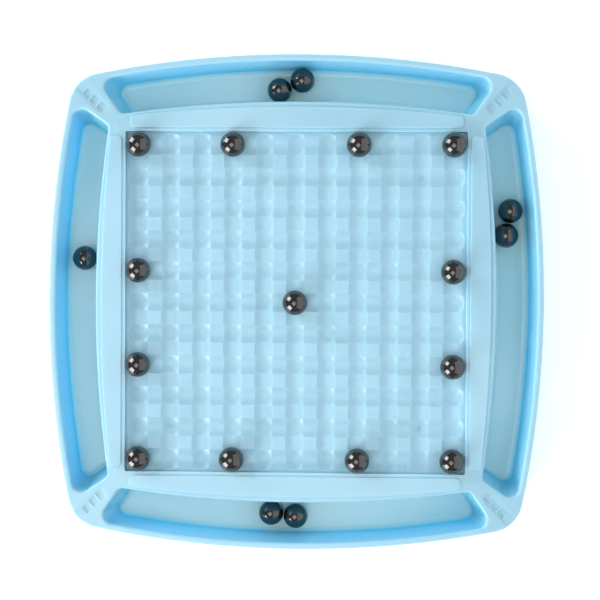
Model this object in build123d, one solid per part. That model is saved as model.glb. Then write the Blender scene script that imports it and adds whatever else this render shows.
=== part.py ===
"""Tabletop magnet-ball game: a moulded square tray with a dimpled playing field, four
storage troughs along its bowed sides, and loose magnetic balls on the field and in the troughs.

Millimetres. +Z is up, the tray stands on z = 0 and its centre is on the Z axis.
The +Y side is the far side of the tray as a player at the -Y side sees it.
"""
from build123d import *
import os
from math import cos, radians, sin, sqrt, tan

# ---- Tray outline -------------------------------------------------------------
tray_width = 252.0              # between the middles of two opposite sides, at the rim
side_bow = 15.254               # how far a side's arc bulges over the tray's width
outline_corner_radius = 18.0
rim_width = 3.3                 # flat rim between the outline and a trough
rim_edge_radius = 1.0
lip_height = 4.0                # the rim stands out over the side wall as a low lip
lip_overhang = 1.1
lip_edge_radius = 0.4

# ---- Walls and underside ------------------------------------------------------
draft_angle = 3.0               # every tall wall leans by this much so that it leaves the mould
skin = 2.0                      # thickness of trough walls, trough floors and the top deck
foot_height = 2.0               # the foot rims that the tray stands on
base_edge_radius = 1.2
underside_rib_width = 1.6
underside_rib_depth = 12.0
underside_rib_offset = 40.0     # ribs run both ways at this distance from the centre

# ---- Storage troughs ----------------------------------------------------------
trough_depth = 24.0
trough_width = 20.7             # from the rim to the trough's inner edge, at mid side
trough_inner_bow = 8.448        # bulge of the inner edge over a length of twice its distance
trough_outer_corner_radius = 5.0
trough_inner_corner_radius = 3.5
trough_floor_radius = 3.0       # cove between the trough's walls and its floor
trough_edge_radius = 1.2
trough_end_draft_angle = 10.0   # the troughs' ends lean more than their long walls
bridge_width = 8.0              # land between two troughs, at its narrow inner end
bridge_flare_angle = 10.6       # each side of the land opens outwards by this much

# ---- Playing field ------------------------------------------------------------
channel_count = 11              # channels each way
channel_width = 9.6
channel_depth = 1.1
dish_depth = 2.0                # round seat where two channels cross, as round as a channel
dish_reach = 5.5                # the outermost seats end this far out from their middles
dish_floor = 1.8                # material left under a dish
field_border = 5.2              # from the deck's side to the wall round the field
field_margin = 1.3              # from that wall to the ends of the outermost seats
field_sink = 3.0                # top deck down to the field's lands
field_corner_radius = 1.0
gate_mark_radius = 1.2          # small witness ring left in a dish by the moulding gate
gate_mark_width = 0.6
gate_mark_depth = 0.25
gate_mark_place = 4             # in the dishes this many channels out from the centre

# ---- Deck round the field -----------------------------------------------------
deck_raise = 0.25               # the square deck stands this much above the bridges and rim
deck_gap = 10.0                 # ledge between the square deck and a trough, at mid side
deck_corner_radius = 2.0
pad_raise = 0.8                 # the long arched pads stand this much above the rim
pad_inner_gap = 1.8             # ledge between the field's wall and the pad
pad_outer_gap = 2.7             # ledge between the pad and the trough, at mid side
pad_bow = 4.59                  # bulge of the pad's outer edge over the pad's length
pad_end_gap = 7.5               # from the pad's end to the deck's corner
pad_corner_radius = 2.5
pad_edge_radius = 0.35

# ---- Decorative cells on the bridges ------------------------------------------
cell_count = 3
cell_side = 3.9
cell_spacing = 4.9
cell_corner_radius = 0.6
cell_depth = 0.5
cell_gap = 10.0                 # from the deck's corner to the middle of the innermost cell
band_width = 6.2                # shallow band that holds the cells and runs out to the rim
band_depth = 0.3

# ---- Magnetic balls -----------------------------------------------------------
ball_diameter = 12.7
seat_gap = 0.2                  # between a ball and what it rests on
ball_gap = 0.2                  # between two balls side by side
# Balls set out on the field, as channels to the right of and beyond the centre.
field_places = [
    (-5, 5), (-2, 5), (2, 5), (5, 5),
    (-5, 1), (0, 0), (5, 1),
    (-5, -2), (5, -2),
    (-5, -5), (-2, -5), (2, -5), (5, -5),
]
# Balls in the troughs: the trough's turn from the far side, how far along it the first
# ball lies, its distance from the inner wall, and the heading of a second ball beside it.
trough_groups = [
    (0, -9.3, 0.9, 23.0),
    (-90, -35.2, 0.4, 170.7),
    (90, 22.3, 2.1, None),
    (180, 12.5, 1.5, 173.5),
]


def bow_radius(half_chord, bow):
    """Radius of an arc that bulges this far over its chord."""
    return (half_chord ** 2 + bow ** 2) / (2 * bow)


# ---- Levels and sizes that follow ---------------------------------------------
ball_radius = ball_diameter / 2
tray_half = tray_width / 2
trough_floor = foot_height + skin
rim_top = trough_floor + trough_depth
deck_top = rim_top + deck_raise
pad_top = rim_top + pad_raise
land_top = rim_top - field_sink
dish_bottom = land_top - dish_depth
plate_underside = dish_bottom - dish_floor
trough_inner_distance = tray_half - rim_width - trough_width
deck_half = trough_inner_distance - deck_gap
pad_half_length = deck_half - pad_end_gap
cell_start = deck_half * sqrt(2) + cell_gap
field_half = deck_half - field_border
outer_channel = field_half - field_margin - dish_reach
pitch = 2 * outer_channel / (channel_count - 1)
channel_radius = bow_radius(channel_width / 2, channel_depth)
pad_inner = field_half + pad_inner_gap
slope = tan(radians(draft_angle))
end_slope = tan(radians(trough_end_draft_angle))
clear = 5.0                     # how far cutting shapes run past what they cut
level_tolerance = 0.01          # edges this close to a level count as lying in it
side_bow_radius = bow_radius(tray_half, side_bow)
trough_inner_bow_radius = bow_radius(trough_inner_distance, trough_inner_bow)
pad_bow_radius = bow_radius(pad_half_length, pad_bow)
diagonal = Vector(1, 1) / sqrt(2)
across = Vector(-1, 1) / sqrt(2)
upwards = (Align.CENTER, Align.CENTER, Align.MIN)   # solids drawn up from their own origin


def standing_edges(shape, height):
    """Edges of a shape that run up its whole height."""
    return [edge for edge in shape.edges() if edge.bounding_box().size.Z > height - level_tolerance]


def edges_at(shape, level):
    """Edges of a shape that lie in one horizontal plane."""
    return [edge for edge in shape.edges()
            if abs(edge.bounding_box().min.Z - level) < level_tolerance
            and abs(edge.bounding_box().max.Z - level) < level_tolerance]


def side_cone(distance, bow_radius, low, high):
    """Round solid whose wall passes the +Y side at this distance, at rim height, and leans in."""
    low_radius = bow_radius - (rim_top - low) * slope
    high_radius = bow_radius - (rim_top - high) * slope
    cone = Cone(low_radius, high_radius, high - low, align=upwards)
    return Pos(0, distance - bow_radius, low) * cone


def bowed_block(inset, low, high, corner_radius):
    """Square block with bowed, drafted sides, between two levels."""
    block = None
    for turn in range(4):
        side = Rot(0, 0, 90 * turn) * side_cone(tray_half - inset, side_bow_radius - inset, low, high)
        block = side if block is None else block & side
    return fillet(standing_edges(block, high - low), corner_radius)


def trough_block(grow, low, high):
    """The far trough's space, or, grown, the outside of its walls."""
    outer = side_cone(tray_half - rim_width + grow, side_bow_radius - rim_width + grow, low, high)
    inner_low = trough_inner_bow_radius - grow + (rim_top - low) * slope
    inner_high = trough_inner_bow_radius - grow + (rim_top - high) * slope
    inner = Cone(inner_low, inner_high, high - low, align=upwards)
    inner = Pos(0, trough_inner_distance - trough_inner_bow_radius, low) * inner
    ends = []
    for reach in (deck_half / 2, tray_width):
        flare = (reach - deck_half * sqrt(2)) * tan(radians(bridge_flare_angle))
        half_gap = bridge_width / 2 + flare - grow / cos(radians(bridge_flare_angle))
        ends.append(diagonal * reach + across * half_gap)
    corners = [(ends[0].X, ends[0].Y), (ends[1].X, ends[1].Y), (-ends[1].X, ends[1].Y), (-ends[0].X, ends[0].Y)]
    # The slanted ends are drafted too: the wedge is drawn at the top and narrows downwards.
    wedge = Polygon(*corners, align=None)
    wedge = offset(wedge, (high - rim_top) * end_slope, kind=Kind.INTERSECTION)
    wedge = extrude(Pos(0, 0, high) * wedge, high - low, dir=(0, 0, -1), taper=trough_end_draft_angle)
    return (outer & wedge) - inner


def trough_cutter():
    """The far trough's space with its corners and its floor rounded."""
    space = trough_block(0, trough_floor, rim_top + clear)
    corners = standing_edges(space, trough_depth + clear)
    outer_corners = [edge for edge in corners if edge.center().Y > trough_inner_distance]
    space = fillet(outer_corners, trough_outer_corner_radius)
    corners = standing_edges(space, trough_depth + clear)
    inner_corners = sorted(corners, key=lambda edge: edge.center().Y)[:2]
    space = fillet(inner_corners, trough_inner_corner_radius)
    return fillet(edges_at(space, trough_floor), trough_floor_radius)


def around(shape):
    """The same shape at each of the four sides."""
    return [Rot(0, 0, 90 * turn) * shape for turn in range(4)]


def outer_block():
    """The tray as a solid block: side wall, lip, rounded rim and rounded base."""
    wall = bowed_block(lip_overhang, 0, rim_top - lip_height / 2, outline_corner_radius - lip_overhang)
    wall = fillet(edges_at(wall, 0), base_edge_radius)
    lip = bowed_block(0, rim_top - lip_height, rim_top, outline_corner_radius)
    lip = fillet(edges_at(lip, rim_top), rim_edge_radius)
    lip = fillet(edges_at(lip, rim_top - lip_height), lip_edge_radius)
    return wall + lip


def underside_hollow():
    """The space under the deck, round the trough walls, the field's plate and the ribs."""
    wall_inset = lip_overhang + skin
    hollow = bowed_block(wall_inset, -clear, rim_top - skin, outline_corner_radius - wall_inset)
    for walls in around(trough_block(skin, -2 * clear, rim_top + clear)):
        hollow -= walls
    plate_side = 2 * (field_half + skin)
    hollow -= Pos(0, 0, plate_underside) * Box(plate_side, plate_side, rim_top, align=upwards)
    for place in (-underside_rib_offset, underside_rib_offset):
        rib = Box(tray_width, underside_rib_width, rim_top, align=upwards)
        rib_level = plate_underside - underside_rib_depth
        hollow -= Pos(0, place, rib_level) * rib
        hollow -= Pos(place, 0, rib_level) * Rot(0, 0, 90) * rib
    return hollow


def field_dimples():
    """Cutting shapes for the crossing channels and for the round seats at their crossings."""
    keep_height = dish_depth + field_sink / 4
    keep_side = 2 * (outer_channel + dish_reach)
    keep = Pos(0, 0, dish_bottom) * Box(keep_side, keep_side, keep_height, align=upwards)
    channel = Rot(0, 90, 0) * Cylinder(channel_radius, 2 * outer_channel)
    channel = Pos(0, 0, land_top - channel_depth + channel_radius) * channel & keep
    dish = Pos(0, 0, dish_bottom + channel_radius) * Sphere(channel_radius)
    places = [pitch * step - outer_channel for step in range(channel_count)]
    cutters = [Pos(0, place, 0) * channel for place in places]
    cutters += [Rot(0, 0, 90) * cutter for cutter in cutters]
    cutters += [Pos(x, y, 0) * dish & keep for x in places for y in places]
    return cutters


def gate_marks():
    """Small ring grooves in the bottoms of four dishes."""
    height = gate_mark_depth + dish_depth
    ring = Cylinder(gate_mark_radius, height, align=upwards)
    ring -= Cylinder(gate_mark_radius - gate_mark_width, height, align=upwards)
    place = gate_mark_place * pitch
    return around(Pos(place, place, dish_bottom - gate_mark_depth) * ring)


def arched_pad():
    """The long low pad between the field and the far trough."""
    outer = trough_inner_distance - pad_outer_gap
    disc = Pos(0, outer - pad_bow_radius) * Circle(pad_bow_radius)
    strip = Pos(0, pad_inner) * Rectangle(2 * pad_half_length, tray_width, align=(Align.CENTER, Align.MIN))
    outline = disc & strip
    outline = fillet(outline.vertices(), pad_corner_radius)
    pad = extrude(Pos(0, 0, rim_top - skin / 2) * outline, pad_raise + skin / 2)
    return fillet(edges_at(pad, pad_top), pad_edge_radius)


def bridge_decoration():
    """Cutting shapes for the band and its cells on the bridge in the far right corner."""
    along = Rot(0, 0, 45)
    band = Pos(cell_start) * Circle(band_width / 2)
    band += Pos(cell_start) * Rectangle(tray_width, band_width, align=(Align.MIN, Align.CENTER))
    cutters = [extrude(Pos(0, 0, rim_top - band_depth) * along * band, clear)]
    cell = RectangleRounded(cell_side, cell_side, cell_corner_radius)
    for step in range(cell_count):
        place = Pos(0, 0, rim_top - band_depth - cell_depth) * along * Pos(cell_start + step * cell_spacing)
        cutters.append(extrude(place * cell, clear))
    return cutters


def tray():
    """The one-piece moulded tray."""
    body = outer_block() - underside_hollow()
    for space in around(trough_cutter()):
        body -= space
    on_outline = tray_half - rim_width / 2
    mouths = [edge for edge in edges_at(body, rim_top)
              if max(abs(edge.center().X), abs(edge.center().Y)) < on_outline
              and abs(abs(edge.center().X) - abs(edge.center().Y)) > bridge_width / 2]
    body = fillet(mouths, trough_edge_radius)
    for recess in around(trough_block(-trough_floor_radius, -clear, foot_height)):
        body -= recess
    deck_outline = RectangleRounded(2 * deck_half, 2 * deck_half, deck_corner_radius)
    body += extrude(Pos(0, 0, rim_top - skin / 2) * deck_outline, deck_raise + skin / 2)
    for pad in around(arched_pad()):
        body += pad
    field = RectangleRounded(2 * field_half, 2 * field_half, field_corner_radius)
    body -= extrude(Pos(0, 0, land_top) * field, rim_top)
    body -= field_dimples()
    body -= gate_marks()
    for cutters in zip(*[around(cutter) for cutter in bridge_decoration()]):
        body -= list(cutters)
    return body


def ball(x, y, seat):
    """One magnetic ball resting over a seat at this level."""
    return Pos(x, y, seat + seat_gap + ball_radius) * Sphere(ball_radius)


def trough_ball_places():
    """Where the balls in the troughs lie."""
    places = []
    for turn, along, inner_gap, heading in trough_groups:
        level = seat_gap + ball_radius - trough_depth
        wall = trough_inner_distance - level * slope
        wall -= trough_inner_bow_radius - sqrt(trough_inner_bow_radius ** 2 - along ** 2)
        first = Vector(along, wall + inner_gap + ball_radius)
        group = [first]
        if heading is not None:
            reach = ball_diameter + ball_gap
            group.append(first + Vector(cos(radians(heading)), sin(radians(heading))) * reach)
        places += [place.rotate(Axis.Z, turn) for place in group]
    return places


parts = {"tray": tray()}
for number, (column, row) in enumerate(field_places, start=1):
    parts[f"field_ball_{number:02d}"] = ball(column * pitch, row * pitch, dish_bottom)
for number, place in enumerate(trough_ball_places(), start=1):
    parts[f"trough_ball_{number:02d}"] = ball(place.X, place.Y, trough_floor)

os.makedirs("parts", exist_ok=True)
for name, shape in parts.items():
    export_step(shape, f"parts/{name}.step")
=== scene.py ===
"""Looks of the magnetic ball game tray, in Blender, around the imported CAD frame.

The tray is one glossy, slightly translucent pale blue moulding. The balls are polished black magnets.
Metres, in the frame of the CAD model: +Z up, the tray stands on z = 0 with its centre on the Z axis.
"""

from math import cos, pi, radians, sin

import bpy
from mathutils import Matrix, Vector


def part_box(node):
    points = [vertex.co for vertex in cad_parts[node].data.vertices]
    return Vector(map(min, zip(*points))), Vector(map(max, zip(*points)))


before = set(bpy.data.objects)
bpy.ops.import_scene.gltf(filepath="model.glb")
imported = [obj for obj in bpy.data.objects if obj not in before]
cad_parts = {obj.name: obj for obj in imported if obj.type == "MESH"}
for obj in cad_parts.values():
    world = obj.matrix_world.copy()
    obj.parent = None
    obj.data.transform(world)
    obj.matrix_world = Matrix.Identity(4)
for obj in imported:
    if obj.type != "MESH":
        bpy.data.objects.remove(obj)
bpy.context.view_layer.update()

MM = 0.001

# ---- Heights in the tray, down from the top of its frame box, and the playing field's reach ------
pads_above_rim = 0.8 * MM
trough_depth = 24.0 * MM
field_half = 86.9 * MM          # from the tray's centre to the wall round the playing field
pad_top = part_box("tray")[1].z
rim_top = pad_top - pads_above_rim
trough_floor = rim_top - trough_depth

# ---- Camera: nearly straight above, a little to the right of and beyond the centre ---------------
camera_place = Vector((22.7, 15.1, 661.1)) * MM
camera_tilt = (radians(-1.24), radians(1.825), radians(0.397))   # about X, Y and Z, Z first
sensor_width_mm = 36.0
lens_mm = 74.82

# ---- Lights: a level is a radiance, where 1 shows as white ---------------------------------------
world_level = 0.28
softbox_distance = 1.4
softbox_elevation = radians(22)

# ---- Floor ---------------------------------------------------------------------------------------
floor_reach = 40.0
floor_drop = 0.05 * MM          # keeps the floor clear of the faces that the tray stands on
floor_whiteness = 0.92
floor_lift = 0.3                # light added to what the camera, gloss and glass see of it


def srgb(red, green, blue):
    """A colour given as 0 to 255 display values, in Blender's linear values."""
    def linear(value):
        value /= 255
        return value / 12.92 if value <= 0.04045 else ((value + 0.055) / 1.055) ** 2.4
    return linear(red), linear(green), linear(blue), 1.0


def grey(level):
    """A neutral colour of this linear level."""
    return level, level, level, 1.0


class Nodes:
    """A small helper to write the node tree of a material or world as short calls."""

    def __init__(self, owner, shader="Principled BSDF"):
        owner.use_nodes = True
        self.tree = owner.node_tree
        self.shader = self.tree.nodes[shader]

    def add(self, kind, inputs=(), **settings):
        """A new node; inputs gives its sockets, by name or number, a value or a link."""
        node = self.tree.nodes.new("ShaderNode" + kind)
        for name, value in settings.items():
            setattr(node, name, value)
        for name, value in dict(inputs).items():
            self.put(value, node.inputs[name])
        return node

    def put(self, value, socket):
        """Links another node's output to the socket, or sets a plain value on it."""
        if isinstance(value, bpy.types.NodeSocket):
            self.tree.links.new(value, socket)
        else:
            socket.default_value = value

    def noise(self, place, scale, detail):
        node = self.add("TexNoise", {"Vector": place, "Scale": scale, "Detail": detail})
        return node.outputs[0]

    def ramp(self, value, start, end, low=0.0, high=1.0, smooth=True):
        """Goes from low to high while value goes from start to end."""
        kind = "SMOOTHSTEP" if smooth else "LINEAR"
        names = {"Value": value, "From Min": start, "From Max": end, "To Min": low, "To Max": high}
        return self.add("MapRange", names, interpolation_type=kind).outputs["Result"]

    def math(self, operation, first, second=0.0):
        return self.add("Math", {0: first, 1: second}, operation=operation).outputs[0]

    # The Mix node names the sockets of every kind of value alike, so the next two go by number.
    def mix_numbers(self, factor, first, second):
        return self.add("Mix", {0: factor, 2: first, 3: second}).outputs[0]

    def mix_colours(self, factor, first, second):
        node = self.add("Mix", {0: factor, 6: first, 7: second}, data_type="RGBA")
        return node.outputs[2]

    def bump(self, height, distance, normal=None):
        node = self.add("Bump", {"Height": height, "Distance": distance, "Strength": 1.0})
        if normal is not None:
            self.put(normal, node.inputs["Normal"])
        return node.outputs["Normal"]


def tray_material():
    """Pale blue glossy plastic that lets light in a little; steep walls also get a painted glow, a deeper
    cyan low down.
    """
    material = bpy.data.materials.new("tray_plastic_blue")
    nodes = Nodes(material)
    where = nodes.add("TexCoord").outputs
    place = where["Object"]
    axes = nodes.add("SeparateXYZ", {"Vector": place}).outputs
    facing = nodes.add("SeparateXYZ", {"Vector": where["Normal"]}).outputs["Z"]
    level = nodes.math("ABSOLUTE", facing)

    # Colour: faint clouding on top, painted light that makes the trough floors paler, and a painted glow,
    # a deeper cyan low on steep walls.
    painted_glow_colour = srgb(112, 221, 253)
    painted_floor_light_colour = srgb(210, 243, 255)
    steep = nodes.ramp(level, 0.85, 0.25)
    depth = nodes.ramp(axes["Z"], rim_top, trough_floor + 3 * MM, low=0.35, high=1.0, smooth=False)
    # Painted glow: light let through the steep walls, painted as a deeper cyan that grows towards the
    # trough floor.
    wall = nodes.math("MULTIPLY", steep, depth)
    clouds = nodes.noise(place, scale=35.0, detail=3.0)
    top_colour = nodes.mix_colours(clouds, srgb(166, 208, 226), srgb(171, 213, 230))
    # Painted light: trough floors painted paler, standing in for light that reaches down into the troughs.
    painted_floor_light_mask = nodes.ramp(axes["Z"], rim_top - 6 * MM, trough_floor)
    flat_colour = nodes.mix_colours(painted_floor_light_mask, top_colour, painted_floor_light_colour)
    colour = nodes.mix_colours(wall, flat_colour, painted_glow_colour)
    nodes.put(colour, nodes.shader.inputs["Base Color"])

    # Finish: polished on the deck and in the troughs, satin on the playing field.
    across = nodes.math("MAXIMUM", nodes.math("ABSOLUTE", axes["X"]), nodes.math("ABSOLUTE", axes["Y"]))
    on_field = nodes.ramp(across, field_half + 0.5 * MM, field_half - 0.5 * MM)
    smears = nodes.noise(place, scale=60.0, detail=4.0)
    polished = nodes.ramp(smears, 0.3, 0.7, low=0.09, high=0.14)
    satin = nodes.ramp(smears, 0.3, 0.7, low=0.26, high=0.34)
    nodes.put(nodes.mix_numbers(on_field, polished, satin), nodes.shader.inputs["Roughness"])

    # Faint sink marks and orange peel of a moulding.
    waves = nodes.bump(nodes.noise(place, scale=45.0, detail=1.0), 0.04 * MM)
    peel = nodes.bump(nodes.noise(place, scale=900.0, detail=2.0), 0.002 * MM, normal=waves)
    nodes.put(peel, nodes.shader.inputs["Normal"])

    nodes.shader.inputs["IOR"].default_value = 1.49
    nodes.shader.inputs["Subsurface Weight"].default_value = 1.0
    nodes.shader.inputs["Subsurface Radius"].default_value = (1.1, 1.5, 1.6)
    nodes.shader.inputs["Subsurface Scale"].default_value = 1.5 * MM
    return material


def ball_material():
    """Polished black magnet: a dark glossy skin with faint polishing marks."""
    material = bpy.data.materials.new("ball_magnet_black")
    nodes = Nodes(material)
    place = nodes.add("TexCoord").outputs["Object"]
    clouds = nodes.noise(place, scale=160.0, detail=3.0)
    colour = nodes.mix_colours(clouds, srgb(10, 9, 9), srgb(18, 16, 16))
    nodes.put(colour, nodes.shader.inputs["Base Color"])
    marks = nodes.noise(place, scale=700.0, detail=5.0)
    nodes.put(nodes.ramp(marks, 0.35, 0.75, low=0.06, high=0.13), nodes.shader.inputs["Roughness"])
    nodes.put(nodes.bump(marks, 0.001 * MM), nodes.shader.inputs["Normal"])
    nodes.shader.inputs["IOR"].default_value = 1.9
    return material


def floor_material():
    """Matt white. What the camera, gloss and glass see of it is lifted a little, towards a clean white."""
    material = bpy.data.materials.new("floor_white")
    nodes = Nodes(material)
    nodes.tree.nodes.remove(nodes.shader)
    paint = nodes.add("BsdfDiffuse", {"Color": grey(floor_whiteness)}).outputs[0]
    lift = nodes.add("Emission", {"Color": grey(1.0), "Strength": floor_lift}).outputs[0]
    path = nodes.add("LightPath").outputs
    seen = nodes.math("MAXIMUM", path["Is Camera Ray"], path["Is Glossy Ray"])
    seen = nodes.math("MAXIMUM", seen, path["Is Transmission Ray"])
    both = nodes.add("AddShader", {0: paint, 1: lift}).outputs[0]
    shown = nodes.add("MixShader", {0: seen, 1: paint, 2: both}).outputs[0]
    nodes.put(shown, nodes.tree.nodes["Material Output"].inputs["Surface"])
    return material


def add_floor():
    """A large plain floor under the tray."""
    mesh = bpy.data.meshes.new("floor")
    near, far = -floor_reach, floor_reach
    mesh.from_pydata([(near, near, 0), (far, near, 0), (far, far, 0), (near, far, 0)], [], [(0, 1, 2, 3)])
    mesh.materials.append(floor_material())
    floor = bpy.data.objects.new("floor", mesh)
    floor.location.z = -floor_drop
    bpy.context.collection.objects.link(floor)


def add_panel(name, centre, width, height, level):
    """A rectangular soft light that faces the tray. level is its radiance."""
    light = bpy.data.lights.new(name, "AREA")
    light.shape = "RECTANGLE"
    light.size = width
    light.size_y = height
    light.energy = level * pi * width * height
    panel = bpy.data.objects.new(name, light)
    panel.location = centre
    panel.rotation_mode = "QUATERNION"
    panel.rotation_quaternion = (-Vector(centre)).to_track_quat("-Z", "Y")
    bpy.context.collection.objects.link(panel)


def softbox_place(azimuth):
    """Where a softbox stands, azimuth degrees round from +X."""
    flat = softbox_distance * cos(softbox_elevation)
    height = softbox_distance * sin(softbox_elevation)
    return flat * cos(radians(azimuth)), flat * sin(radians(azimuth)), height


def add_lights():
    """Two upright softboxes on the left, a wide dim panel on the right and a small one overhead."""
    add_panel("softbox_far_left", softbox_place(146), width=0.72, height=0.85, level=6.6)
    add_panel("softbox_near_left", softbox_place(224), width=0.78, height=0.9, level=7.2)
    add_panel("reflector_right", (0.70, 0.0, 0.48), width=2.0, height=1.15, level=0.85)
    add_panel("softbox_overhead", (-0.15, -0.14, 1.15), width=0.66, height=0.66, level=2.0)


def add_world():
    """Dim, even room light; the camera itself sees plain white beyond the floor."""
    world = bpy.data.worlds.new("studio")
    nodes = Nodes(world, shader="Background")
    seen = nodes.add("LightPath").outputs["Is Camera Ray"]
    nodes.put(nodes.mix_colours(seen, grey(world_level), grey(1.0)), nodes.shader.inputs["Color"])
    nodes.shader.inputs["Strength"].default_value = 1.0
    bpy.context.scene.world = world


def add_camera():
    """The photograph's viewpoint: almost straight down."""
    data = bpy.data.cameras.new("camera")
    data.sensor_width = sensor_width_mm
    data.lens = lens_mm
    camera = bpy.data.objects.new("camera", data)
    camera.location = camera_place
    camera.rotation_mode = "ZYX"
    camera.rotation_euler = camera_tilt
    bpy.context.collection.objects.link(camera)
    bpy.context.scene.camera = camera


def dress(node, material):
    """Gives a CAD node its material."""
    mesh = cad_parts[node].data
    mesh.materials.clear()
    mesh.materials.append(material)


plastic = tray_material()
magnet = ball_material()
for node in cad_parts:
    dress(node, plastic if node == "tray" else magnet)

add_floor()
add_lights()
add_world()
add_camera()
bpy.context.scene.view_settings.view_transform = "Standard"
